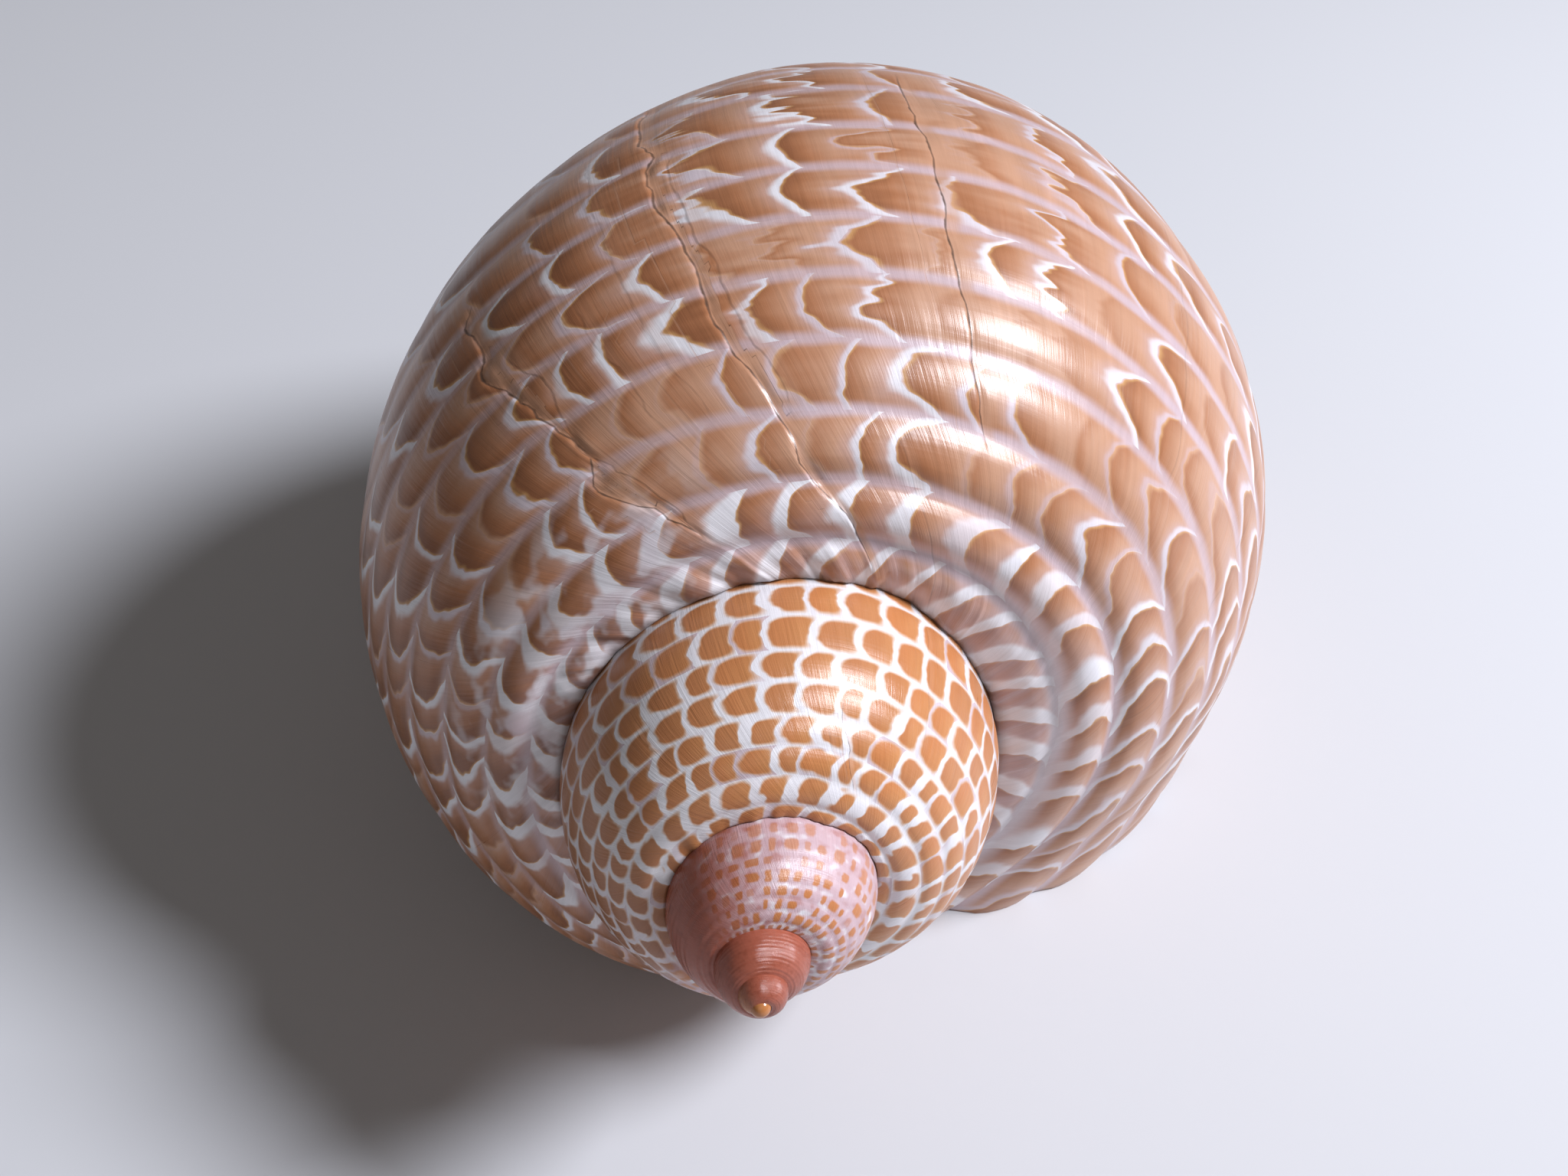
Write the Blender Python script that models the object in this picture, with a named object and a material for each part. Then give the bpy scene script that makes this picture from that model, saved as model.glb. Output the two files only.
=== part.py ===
"""Partridge tun shell, grown as one piece: a thin coiled wall with low spiral ribs and a wide mouth.

The coil is a log spiral. A row is one position of the growing lip, and a column runs along the coil at one
latitude of the whorl, from its upper suture over the shoulder and the widest line down to the columella.
"""
import math

import bmesh
import bpy
from mathutils import Matrix, Vector

# Size and growth of the coil, in metres and degrees
LIP_RADIUS = 0.0494          # coil axis to the widest line at the lip
WHORL_GROWTH = 2.35          # size of a whorl over the one before it
LIP_AZIMUTH = 27.0           # growth angle where the widest line reaches the lip
TURNS = 4.3                  # turns from the first whorl to the lip
PINCH = 0.093                # the narrow stretch that follows the old break on the whorl above the last one
PINCH_AZIMUTH = -380.0
PINCH_WIDTH = 45.0

# Profile of a whorl, as shares of its radius: r from the axis and z from the pole of the spiral
SHOULDER_R = 0.40
SHOULDER_RISE = 0.81
SHOULDER_POWER = 1.08
WIDEST_Z = 1.395
BASE_DROP = 1.05
BASE_POWER = 0.78
AXIS_GAP = 0.05
CANAL_DROP = 0.04            # the siphonal end reaches this much further than the base
CANAL_START = 148.0          # latitude where the base starts to turn into the canal
UPPER_SUTURE = 2.4           # latitudes, 0 at the shoulder's top, 90 at the widest line, 180 at the axis
LOWER_SUTURE = 91.5
SUTURE_DIP = 7.0             # degrees of latitude over which the shoulder sinks into the suture
SUTURE_DIP_ENDS = 24.0
SLOPE_STEP = 0.5             # degrees each way from the place where a wall's slope is taken

# The lip and the growth lines that repeat it, in degrees of growth angle
LIP_LEAN = 50.0              # the lip by the shoulder runs ahead of its widest line
LIP_LEAN_FADE = 30.0
NOTCH_DEPTH = 24.0           # the siphonal notch falls back from it
NOTCH_LATITUDE = 168.0
NOTCH_WIDTH = 10.0
COLUMELLA_LEAD = 9.0         # the columella's end stands this far ahead of the notch
LIP_FLARE = 0.03
FLARE_LENGTH = 14.0
FLARE_START = 40.0           # latitude by which the flare has grown to its full size

# Spiral ribs, by the latitude of the grooves between them
UPPER_GROOVES = (10.0, 20.0, 31.0, 41.5, 51.5, 61.0, 71.0, 82.0)
LOWER_GROOVES = (96.0, 107.0, 118.0, 129.0, 139.0, 149.0, 159.0, 168.0)
GROOVE_DEPTH = 0.011         # share of the whorl's radius, at the shoulder
GROOVE_FADE = 0.55           # the share of it that is left at the widest line
GROOVE_FADE_START = 20.0
GROOVE_FADE_END = 60.0

# Wall and hollow of the shell
WALL = 0.0018
GLAZE = 0.0005               # layer laid on the whorl that the mouth closes against
PILLAR = 0.095               # thickness of the columella round its axis gap, as a share of the whorl's radius
PILLAR_STEPS = 6
EDGE_ROUND = 0.45            # the mouth's edge swells this share of its thickness
EDGE_ROUND_MOST = 0.0025
HOLLOW_CORNER = 12.0         # latitude of the hollow's upper corner, clear of the suture
HOLLOW_FLOOR = 174.0         # latitude where its wall meets the columella
HOLLOW_ROWS = 36
HOLLOW_END_ROWS = 4          # rows over which its inner end closes
UMBILICUS_DEPTH = 1.45       # bottom of the chink beside the columella, as a share of the lip's radius

# The first whorl's rounded tip
TIP_RISE = 0.45              # share of its radius
TIP_RING = 0.45              # the ring halfway up is drawn in this share of the way
TIP_RING_RISE = 0.75         # and stands at this share of the rise
APEX_DRIFT = 0.0008          # the tip leans this far along X
APEX_DRIFT_FADE = 0.005

# Rows and extra columns of the net of points
ROWS_PER_SEAM = 32           # rows from a place on the coil to the same place one whorl later
SHOULDER_COLUMN = 6.0
WIDEST_COLUMN = 86.8
CANAL_COLUMN = 178.0

# How the shell lies on a flat surface, in degrees
PITCH = -7.9                 # tips the siphonal end down
ROLL = -7.05                 # turns the coil about its own axis
FLAT_DEPTH = 0.0004          # worn flat where it rests

TONE = (0.50, 0.23, 0.10)
ROUGHNESS = 0.3
SMOOTH_UP_TO = 40.0          # edges bent more than this many degrees stay sharp


def smoothstep(low, high, value):
    t = min(max((value - low) / (high - low), 0.0), 1.0)
    return t * t * (3.0 - 2.0 * t)


def lean(latitude):
    """How far, in degrees, a growth line runs ahead of the widest line at a latitude."""
    short_of = max(0.0, NOTCH_LATITUDE - latitude)
    notch = NOTCH_DEPTH * math.exp(-((short_of / NOTCH_WIDTH) ** 2))
    notch -= COLUMELLA_LEAD * smoothstep(NOTCH_LATITUDE, 180.0, latitude)
    return LIP_LEAN * math.exp(-latitude / LIP_LEAN_FADE) - notch


SEAM_TURN = 360.0 + lean(LOWER_SUTURE) - lean(UPPER_SUTURE)
ROW_STEP = SEAM_TURN / ROWS_PER_SEAM


def radius(azimuth):
    """Whorl radius at a growth angle."""
    return LIP_RADIUS * WHORL_GROWTH ** ((azimuth - LIP_AZIMUTH) / 360.0)


def plain_profile(latitude):
    """r and z of the smooth whorl, as shares of its radius."""
    across = math.sin(math.radians(latitude))
    along = math.cos(math.radians(latitude))
    if latitude <= 90.0:
        r = SHOULDER_R + (1.0 - SHOULDER_R) * across
        z = WIDEST_Z - SHOULDER_RISE * abs(along) ** SHOULDER_POWER
    else:
        r = AXIS_GAP + (1.0 - AXIS_GAP) * abs(across) ** BASE_POWER
        z = WIDEST_Z + BASE_DROP * abs(along) + CANAL_DROP * smoothstep(CANAL_START, 180.0, latitude)
    return Vector((r, z))


def outward(latitude):
    """Unit vector in the r, z plane that points out of the whorl."""
    low = max(latitude - SLOPE_STEP, UPPER_SUTURE)
    high = min(latitude + SLOPE_STEP, 180.0 - SLOPE_STEP)
    run = plain_profile(high) - plain_profile(low)
    return Vector((run.y, -run.x)).normalized()


def wall_rz(azimuth, latitude, flare=0.0, offset=0.0):
    """r and z of the wall in metres; offset moves it out of the whorl."""
    size = radius(azimuth)
    pinch = 1.0 - PINCH * math.exp(-(((azimuth - PINCH_AZIMUTH) / PINCH_WIDTH) ** 2))
    r, z = plain_profile(latitude) * size
    r *= pinch * (1.0 + flare)
    if latitude < SUTURE_DIP_ENDS:
        dip = math.exp(-(((latitude - UPPER_SUTURE) / SUTURE_DIP) ** 2))
        seam_r, seam_z = wall_rz(azimuth - 360.0, LOWER_SUTURE)
        own_r, own_z = plain_profile(UPPER_SUTURE) * size
        r += (seam_r - own_r * pinch) * dip
        z += (seam_z - own_z) * dip
    if offset:
        normal = outward(latitude)
        r += offset * normal[0]
        z += offset * normal[1]
    return r, z


def place(azimuth, r, z):
    angle = math.radians(azimuth)
    drift = APEX_DRIFT * math.exp(-z / APEX_DRIFT_FADE)
    return Vector((r * math.cos(angle) + drift, r * math.sin(angle), z))


def between(marks):
    """The marks with the middle of each pair."""
    filled = [marks[0]]
    for low, high in zip(marks[:-1], marks[1:]):
        filled += [(low + high) / 2.0, high]
    return filled


UPPER_COLUMNS = [UPPER_SUTURE, SHOULDER_COLUMN] + between(UPPER_GROOVES) + [WIDEST_COLUMN, LOWER_SUTURE]
LOWER_COLUMNS = between(LOWER_GROOVES) + [HOLLOW_FLOOR, CANAL_COLUMN, 180.0]
HOLLOW_LATITUDES = (HOLLOW_CORNER,) + UPPER_GROOVES[1:] + LOWER_GROOVES + (HOLLOW_FLOOR,)
MOUTH_WALL_LATITUDES = (HOLLOW_FLOOR,) + LOWER_GROOVES[::-1]
SEAM_COLUMN = len(UPPER_COLUMNS) - 1
AXIS_COLUMN = SEAM_COLUMN + len(LOWER_COLUMNS)
LAST_ROW = round(TURNS * 360.0 / ROW_STEP)
FIRST_OPEN_ROW = LAST_ROW - ROWS_PER_SEAM


def nearest_column(latitude):
    latitudes = UPPER_COLUMNS + LOWER_COLUMNS
    return min(range(len(latitudes)), key=lambda column: abs(latitudes[column] - latitude))


def row_angle(row):
    return LIP_AZIMUTH - (LAST_ROW - row) * ROW_STEP


def flare(row, latitude):
    rise = smoothstep(-FLARE_LENGTH, 0.0, row_angle(row) - LIP_AZIMUTH)
    return LIP_FLARE * rise * smoothstep(0.0, FLARE_START, latitude)


def outer_point(row, latitude):
    azimuth = row_angle(row) + lean(latitude)
    depth = 0.0
    if latitude in UPPER_GROOVES + LOWER_GROOVES:
        fade = (1.0 - GROOVE_FADE) * smoothstep(GROOVE_FADE_START, GROOVE_FADE_END, latitude)
        depth = GROOVE_DEPTH * radius(azimuth) * (1.0 - fade)
    return place(azimuth, *wall_rz(azimuth, latitude, flare(row, latitude), -depth))


def pillar_radius(z, thickness):
    """The columella is a cone on the pole of the spiral."""
    return (AXIS_GAP + thickness) * z / (WIDEST_Z + BASE_DROP + CANAL_DROP)


def pillar_line(start, end, thickness):
    """Points between two (azimuth, z) places on the columella."""
    points = []
    for step in range(1, PILLAR_STEPS):
        share = step / PILLAR_STEPS
        azimuth = start[0] + (end[0] - start[0]) * share
        z = start[1] + (end[1] - start[1]) * share
        points.append(place(azimuth, pillar_radius(z, thickness), z))
    return points


def hollow_ring(row):
    """One section of the hollow: outer wall, columella, and the whorl that the mouth closes against."""
    ring = []
    for latitude in HOLLOW_LATITUDES:
        azimuth = row_angle(row) + lean(latitude)
        r, z = wall_rz(azimuth, latitude, flare(row, latitude), -WALL)
        ring.append(place(azimuth, r, z))
    foot = (azimuth, z)
    inner = []
    for latitude in MOUTH_WALL_LATITUDES:
        azimuth = row_angle(row - ROWS_PER_SEAM) + lean(latitude)
        r, z = wall_rz(azimuth, latitude, 0.0, GLAZE)
        inner.append(place(azimuth, max(r, pillar_radius(z, PILLAR)), z))
        if latitude == HOLLOW_FLOOR:
            head = (azimuth + 360.0, z)
    return ring + pillar_line(foot, head, PILLAR) + inner


def add_ring(mesh, points):
    return [mesh.verts.new(point) for point in points]


def join_rings(mesh, first, second):
    """Quads between two closed rings of the same length."""
    count = len(first)
    for i in range(count):
        k = (i + 1) % count
        mesh.faces.new((first[i], first[k], second[k], second[i]))


def join_chains(mesh, first, second):
    """Triangles between two open chains of different lengths."""
    i = k = 0
    while i < len(first) - 1 or k < len(second) - 1:
        first_share = (i + 1) / (len(first) - 1) if i < len(first) - 1 else math.inf
        second_share = (k + 1) / (len(second) - 1) if k < len(second) - 1 else math.inf
        if first_share <= second_share:
            mesh.faces.new((first[i], first[i + 1], second[k]))
            i += 1
        else:
            mesh.faces.new((first[i], second[k + 1], second[k]))
            k += 1


def fan(mesh, ring, point):
    centre = mesh.verts.new(point)
    for i, vert in enumerate(ring):
        mesh.faces.new((vert, ring[(i + 1) % len(ring)], centre))


def middle(ring):
    return sum((vert.co for vert in ring), Vector()) / len(ring)


def outer_wall(mesh):
    """The outside of every whorl. Each whorl's first column is the last one of the whorl before it."""
    grid = {}
    for row in range(LAST_ROW + 1):
        for column, latitude in enumerate(UPPER_COLUMNS):
            if column == 0 and row >= ROWS_PER_SEAM:
                grid[row, 0] = grid[row - ROWS_PER_SEAM, SEAM_COLUMN]
            else:
                grid[row, column] = mesh.verts.new(outer_point(row, latitude))
        if row >= FIRST_OPEN_ROW:
            for step, latitude in enumerate(LOWER_COLUMNS, 1):
                grid[row, SEAM_COLUMN + step] = mesh.verts.new(outer_point(row, latitude))
    for row in range(LAST_ROW):
        for column in range(AXIS_COLUMN if row >= FIRST_OPEN_ROW else SEAM_COLUMN):
            corners = ((row, column), (row + 1, column), (row + 1, column + 1), (row, column + 1))
            mesh.faces.new([grid[corner] for corner in corners])
    return grid


def close_tip(mesh, grid):
    """A rounded cap over the start of the first whorl."""
    ring = [grid[row, 0] for row in range(ROWS_PER_SEAM + 1)]
    ring += [grid[0, column] for column in range(SEAM_COLUMN - 1, 0, -1)]
    centre = middle(ring)
    peak = Vector((centre.x, centre.y, centre.z - TIP_RISE * radius(row_angle(0))))
    shoulder = []
    for vert in ring:
        point = vert.co.lerp(centre, TIP_RING)
        point.z += (peak.z - centre.z) * TIP_RING_RISE
        shoulder.append(mesh.verts.new(point))
    join_rings(mesh, ring, shoulder)
    fan(mesh, shoulder, peak)


def hollow(mesh):
    """The inside, from the lip back to its closed end. Returns the ring at the lip."""
    first = LAST_ROW - HOLLOW_ROWS
    rings = []
    for row in range(first, LAST_ROW + 1):
        points = hollow_ring(row)
        centre = sum(points, Vector()) / len(points)
        share = min(1.0, (row - first + 1) / (HOLLOW_END_ROWS + 1))
        round_off = math.sqrt(1.0 - (1.0 - share) ** 2)
        rings.append(add_ring(mesh, [centre.lerp(point, round_off) for point in points]))
    for one, two in zip(rings[:-1], rings[1:]):
        join_rings(mesh, one, two)
    fan(mesh, rings[0], middle(rings[0]))
    return rings[-1]


def close_mouth(mesh, grid, inner):
    """The lip's rounded edge, the columella's outer side and the chink beside it."""
    lip = [grid[LAST_ROW, column] for column in range(AXIS_COLUMN + 1)]
    wall = [grid[FIRST_OPEN_ROW, column] for column in range(AXIS_COLUMN, SEAM_COLUMN - 1, -1)]
    start = (LIP_AZIMUTH + lean(180.0), lip[-1].co.z)
    end = (row_angle(FIRST_OPEN_ROW) + 360.0 + lean(180.0), wall[0].co.z)
    pillar = add_ring(mesh, pillar_line(start, end, 0.0))
    lip_count = len(HOLLOW_LATITUDES)
    wall_start = lip_count + PILLAR_STEPS - 1
    partners = [lip[nearest_column(latitude)] for latitude in HOLLOW_LATITUDES]
    partners += pillar
    partners += [grid[FIRST_OPEN_ROW, nearest_column(latitude)] for latitude in MOUTH_WALL_LATITUDES]
    crest = []
    for vert, partner in zip(inner, partners):
        halfway = (vert.co + partner.co) / 2.0
        ahead = Vector((-halfway.y, halfway.x, 0.0)).normalized()
        swell = EDGE_ROUND * (vert.co - partner.co).length
        crest.append(mesh.verts.new(halfway + ahead * min(swell, EDGE_ROUND_MOST)))
    join_rings(mesh, inner, crest)
    join_chains(mesh, lip, crest[:lip_count])
    join_chains(mesh, [lip[-1]] + pillar + [wall[0]], crest[lip_count - 1:wall_start + 1])
    join_chains(mesh, wall, crest[wall_start:])
    mesh.faces.new((lip[0], crest[0], crest[-1]))
    chink = [grid[row, AXIS_COLUMN] for row in range(FIRST_OPEN_ROW, LAST_ROW + 1)] + pillar
    fan(mesh, chink, Vector((0.0, 0.0, UMBILICUS_DEPTH * LIP_RADIUS)))


def lay_down(mesh):
    """Turns the coil's axis from Z to its place at rest, and wears flat spots where the shell touches down."""
    turn = Matrix.Rotation(math.radians(PITCH), 4, "X") @ Matrix.Rotation(math.radians(-90.0), 4, "X")
    turn = turn @ Matrix.Rotation(math.radians(ROLL), 4, "Z")
    bmesh.ops.transform(mesh, matrix=turn, verts=mesh.verts)
    floor = min(vert.co.z for vert in mesh.verts) + FLAT_DEPTH
    everything = mesh.verts[:] + mesh.edges[:] + mesh.faces[:]
    bmesh.ops.bisect_plane(mesh, geom=everything, dist=1e-7, plane_co=(0, 0, floor), plane_no=(0, 0, -1),
                           clear_outer=True)
    rims = [edge for edge in mesh.edges if edge.is_boundary]
    bmesh.ops.holes_fill(mesh, edges=rims, sides=0)
    low = [min(vert.co[axis] for vert in mesh.verts) for axis in range(3)]
    high = [max(vert.co[axis] for vert in mesh.verts) for axis in range(3)]
    bmesh.ops.translate(mesh, verts=mesh.verts, vec=(-(low[0] + high[0]) / 2, -(low[1] + high[1]) / 2, -floor))


def shell_material():
    material = bpy.data.materials.new("shell")
    material.use_nodes = True
    shader = material.node_tree.nodes["Principled BSDF"]
    shader.inputs["Base Color"].default_value = (*TONE, 1.0)
    shader.inputs["Roughness"].default_value = ROUGHNESS
    shader.inputs["Metallic"].default_value = 0.0
    return material


def main():
    for item in list(bpy.data.objects):
        bpy.data.objects.remove(item, do_unlink=True)
    mesh = bmesh.new()
    grid = outer_wall(mesh)
    close_tip(mesh, grid)
    close_mouth(mesh, grid, hollow(mesh))
    bmesh.ops.triangulate(mesh, faces=mesh.faces)
    bmesh.ops.recalc_face_normals(mesh, faces=mesh.faces)
    if mesh.calc_volume(signed=True) < 0.0:
        bmesh.ops.reverse_faces(mesh, faces=mesh.faces)
    lay_down(mesh)
    data = bpy.data.meshes.new("shell")
    mesh.to_mesh(data)
    mesh.free()
    data.materials.append(shell_material())
    data.shade_smooth()
    data.set_sharp_from_angle(angle=math.radians(SMOOTH_UP_TO))
    bpy.context.scene.collection.objects.link(bpy.data.objects.new("shell", data))


main()
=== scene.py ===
import math

import bpy
import numpy as np
from mathutils import Matrix, Vector


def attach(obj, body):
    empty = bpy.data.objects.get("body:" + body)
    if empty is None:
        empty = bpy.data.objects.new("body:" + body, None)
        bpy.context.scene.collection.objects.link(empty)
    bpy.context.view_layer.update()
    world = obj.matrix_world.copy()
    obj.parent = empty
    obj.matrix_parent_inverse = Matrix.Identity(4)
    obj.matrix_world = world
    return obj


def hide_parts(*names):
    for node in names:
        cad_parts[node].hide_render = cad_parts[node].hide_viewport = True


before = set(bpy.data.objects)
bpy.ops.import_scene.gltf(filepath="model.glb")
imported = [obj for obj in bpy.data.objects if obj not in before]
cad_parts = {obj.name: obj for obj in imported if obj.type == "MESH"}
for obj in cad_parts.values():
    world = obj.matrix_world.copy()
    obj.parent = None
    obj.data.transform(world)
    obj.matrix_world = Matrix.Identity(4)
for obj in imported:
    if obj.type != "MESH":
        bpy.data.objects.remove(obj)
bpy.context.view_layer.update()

# Size and growth of the coil, in metres and degrees, as in the CAD
LIP_RADIUS = 0.0494
WHORL_GROWTH = 2.35
LIP_AZIMUTH = 27.0
TURNS = 5.0                  # the CAD stops at 4.3; this coil goes on to the first whorl's bead
PINCH = 0.093
PINCH_AZIMUTH = -380.0
PINCH_WIDTH = 45.0
SHOULDER_R = 0.40
SHOULDER_RISE = 0.81
SHOULDER_POWER = 1.08
WIDEST_Z = 1.395
BASE_DROP = 1.05
BASE_POWER = 0.78
AXIS_GAP = 0.05
CANAL_DROP = 0.04
CANAL_START = 148.0
UPPER_SUTURE = 2.4
LOWER_SUTURE = 91.5
SUTURE_DIP = 7.0
SUTURE_STEEPER = 0.42        # the dip into the suture narrows by this share towards the lip
LIP_LEAN = 50.0
LIP_LEAN_FADE = 30.0
NOTCH_DEPTH = 24.0
NOTCH_LATITUDE = 168.0
NOTCH_WIDTH = 10.0
COLUMELLA_LEAD = 9.0
LIP_FLARE = 0.03
FLARE_LENGTH = 14.0
FLARE_START = 40.0
CORNER_LEAD = 6.8            # the finished lip runs this much further ahead by the shoulder
CORNER_LEAD_FADE = 38.0
CORNER_LEAD_LENGTH = 60.0
WALL = 0.0018
GLAZE = 0.0005
PILLAR = 0.095
EDGE_ROUND = 0.45
EDGE_ROUND_MOST = 0.0025
HOLLOW_CORNER = 12.0
HOLLOW_FLOOR = 174.0
HOLLOW_LENGTH = 355.0
HOLLOW_END = 40.0
GROOVES_INSIDE = 0.7         # the share of a groove's depth that shows on the inside
UMBILICUS_DEPTH = 1.45
APEX_DRIFT = 0.0008
APEX_DRIFT_FADE = 0.005
PITCH = -7.9
ROLL = -7.05
FLAT_DEPTH = 0.0004
BEAD_CENTRE = np.array((APEX_DRIFT * 0.87, 0.0, 0.00062))
BEAD_SIZE = 0.00066
EARLY_SWELL = 0.00038        # the first whorls are this much fuller than the coil's even growth
FIRST_TAPER = 110.0          # degrees over which the first whorl grows out of the bead

# Spiral ribs: the latitudes of the grooves between them, on the last whorl and on those before it
GROOVES = (-2.0, 10.0, 20.0, 31.0, 41.5, 51.5, 61.0, 71.0, 82.0, 96.0, 107.0, 118.0, 129.0, 139.0,
           149.0, 159.0, 168.0, 180.0)
OLD_GROOVES = (-2.0, 10.0, 22.0, 32.0, 42.0, 53.0, 63.0, 76.0, 90.0, 102.0, 112.0, 122.0, 132.0, 142.0,
               151.0, 160.0, 169.0, 180.0)
GROOVE_DEPTH = 0.011
GROOVE_FADE = 0.45
GROOVE_SIDE = 0.42           # share of a half rib over which it sinks into the groove
FIRST_GROOVE = 0.55          # no groove before this place across the first rib
LAST_GROOVE = 176.0
SHOULDER_ROLLS = 1.1         # the grooves by the suture deepen by this much towards the lip
ROLLS_LATITUDE = 13.0
ROLLS_WIDTH = 10.0

# Low relief: sizes are shares of the whorl's radius; waves are (share, length in degrees, noise number)
WRINKLES = ((0.7, 4.5, 4), (0.7, 2.1, 5), (0.5, 1.2, 6))
WRINKLE_DEPTH = 0.0045       # folds across the shoulder by the suture
WRINKLE_START = 3.5
WRINKLE_WIDTH = 6.5
GROWTH_LINES = ((0.6, 1.9, 7), (0.4, 0.9, 8))
GROWTH_LINE_DEPTH = 0.0006
DENT_DEPTH = 0.0035
DENT_LENGTH = 17.0
DENT_WIDTH = 16.0
THREAD_DEPTH = 0.0026        # spiral threads on the young whorls
THREAD_STEP = 6.5
SEAM_STRAYS = ((0.00014, 7.0, 21), (0.00009, 2.6, 22))    # in metres
SEAM_JOG = 0.0005            # in metres, where the main break meets the suture
WAVE_VALUES = 1024           # noise repeats after this many bumps
SHEET_VALUES = 256

# The net of points
ROWS = (300, 190, 120, 72, 44, 36, 20)    # in each whorl, from the lip back
FINE_COLUMNS = (2.4, 3.0, 3.7, 4.5, 5.4, 6.4, 7.4, 8.4, 9.3, 10.2, 11.1)
UPPER_COLUMNS = 60
LOWER_COLUMNS = 44
TUCKED_COLUMNS = 2           # columns of an older whorl that the next one covers
PILLAR_STEPS = 12
HOLLOW_ROWS = 100
EDGE_STEPS = 6
BEAD_TURNS = 33
BEAD_TILTS = 17
TUCK = 0.0003                # a whorl's upper edge runs this far into the whorl before it


def smoothstep(low, high, value):
    """0 at low and 1 at high, smooth between; low may be the larger one."""
    t = np.clip((value - low) / (high - low), 0.0, 1.0)
    return t * t * (3.0 - 2.0 * t)


def lean(latitude):
    """How far, in degrees, a growth line runs ahead of the widest line at a latitude."""
    short_of = np.maximum(0.0, NOTCH_LATITUDE - latitude)
    notch = NOTCH_DEPTH * np.exp(-((short_of / NOTCH_WIDTH) ** 2))
    notch = notch - COLUMELLA_LEAD * smoothstep(NOTCH_LATITUDE, 180.0, latitude)
    return LIP_LEAN * np.exp(-latitude / LIP_LEAN_FADE) - notch


# Degrees of growth in which the coil comes round to cover its own wall down to the lower suture
SEAM_TURN = float(360.0 + lean(np.float64(LOWER_SUTURE)) - lean(np.float64(UPPER_SUTURE)))


def lead(growth, latitude):
    """How far the lip, and the wall where the last whorl starts, run ahead of their growth lines."""
    at_lip = smoothstep(-CORNER_LEAD_LENGTH, 0.0, growth - LIP_AZIMUTH)
    at_lip = at_lip * np.exp(-((latitude / CORNER_LEAD_FADE) ** 2))
    start = (growth - LIP_AZIMUTH + SEAM_TURN) / (CORNER_LEAD_LENGTH / 2.0)
    below = (latitude - LOWER_SUTURE) / CORNER_LEAD_FADE
    return CORNER_LEAD * (at_lip + np.exp(-start ** 2 - below ** 2))


def radius(azimuth):
    """The whorl's widest radius, in metres."""
    return LIP_RADIUS * WHORL_GROWTH ** ((azimuth - LIP_AZIMUTH) / 360.0)


def pinch(azimuth):
    """The share of its width that a whorl keeps: the one before the last is a little narrow."""
    return 1.0 - PINCH * np.exp(-(((azimuth - PINCH_AZIMUTH) / PINCH_WIDTH) ** 2))


def plain_profile(latitude):
    """r and z of the smooth whorl, as shares of its radius."""
    across = np.sin(np.radians(latitude))
    along = np.abs(np.cos(np.radians(latitude)))
    upper = latitude <= 90.0
    r = np.where(upper, SHOULDER_R + (1.0 - SHOULDER_R) * across,
                 AXIS_GAP + (1.0 - AXIS_GAP) * np.abs(across) ** BASE_POWER)
    z = np.where(upper, WIDEST_Z - SHOULDER_RISE * along ** SHOULDER_POWER,
                 WIDEST_Z + BASE_DROP * along + CANAL_DROP * smoothstep(CANAL_START, 180.0, latitude))
    return r, z


def outward(latitude):
    """The r and z parts of the unit vector that points out of the whorl."""
    low_r, low_z = plain_profile(np.clip(latitude - 0.5, UPPER_SUTURE, 178.5))
    high_r, high_z = plain_profile(np.clip(latitude + 0.5, UPPER_SUTURE, 179.5))
    length = np.hypot(high_r - low_r, high_z - low_z)
    return (high_z - low_z) / length, -(high_r - low_r) / length


def wave(x, seed):
    """Smooth noise along one direction, from -1 to 1 and one unit from bump to bump."""
    values = np.random.default_rng(seed).uniform(-1.0, 1.0, WAVE_VALUES)
    cell = np.floor(x).astype(int)
    t = x - cell
    t = t * t * (3.0 - 2.0 * t)
    return values[cell % WAVE_VALUES] * (1.0 - t) + values[(cell + 1) % WAVE_VALUES] * t


def waves(x, parts, shift=0):
    """A sum of waves, each of a size, a length and a noise number."""
    return sum(size * wave(x / length, seed + shift) for size, length, seed in parts)


def sheet_noise(x, y, seed):
    """Smooth noise over a sheet, from -1 to 1."""
    values = np.random.default_rng(seed).uniform(-1.0, 1.0, (SHEET_VALUES, SHEET_VALUES))
    i = np.floor(x).astype(int)
    k = np.floor(y).astype(int)
    s = x - i
    t = y - k
    s = s * s * (3.0 - 2.0 * s)
    t = t * t * (3.0 - 2.0 * t)
    i, next_i = i % SHEET_VALUES, (i + 1) % SHEET_VALUES
    k, next_k = k % SHEET_VALUES, (k + 1) % SHEET_VALUES
    low = values[i, k] * (1.0 - s) + values[next_i, k] * s
    high = values[i, next_k] * (1.0 - s) + values[next_i, next_k] * s
    return low * (1.0 - t) + high * t


def seam_wander(azimuth):
    """How far the suture strays along the whorl before it, in metres."""
    jog = SEAM_JOG * smoothstep(-59.5, -57.0, azimuth) * smoothstep(-20.0, -56.0, azimuth)
    return (waves(azimuth, SEAM_STRAYS) + jog) * smoothstep(-700.0, -300.0, azimuth)


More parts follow.
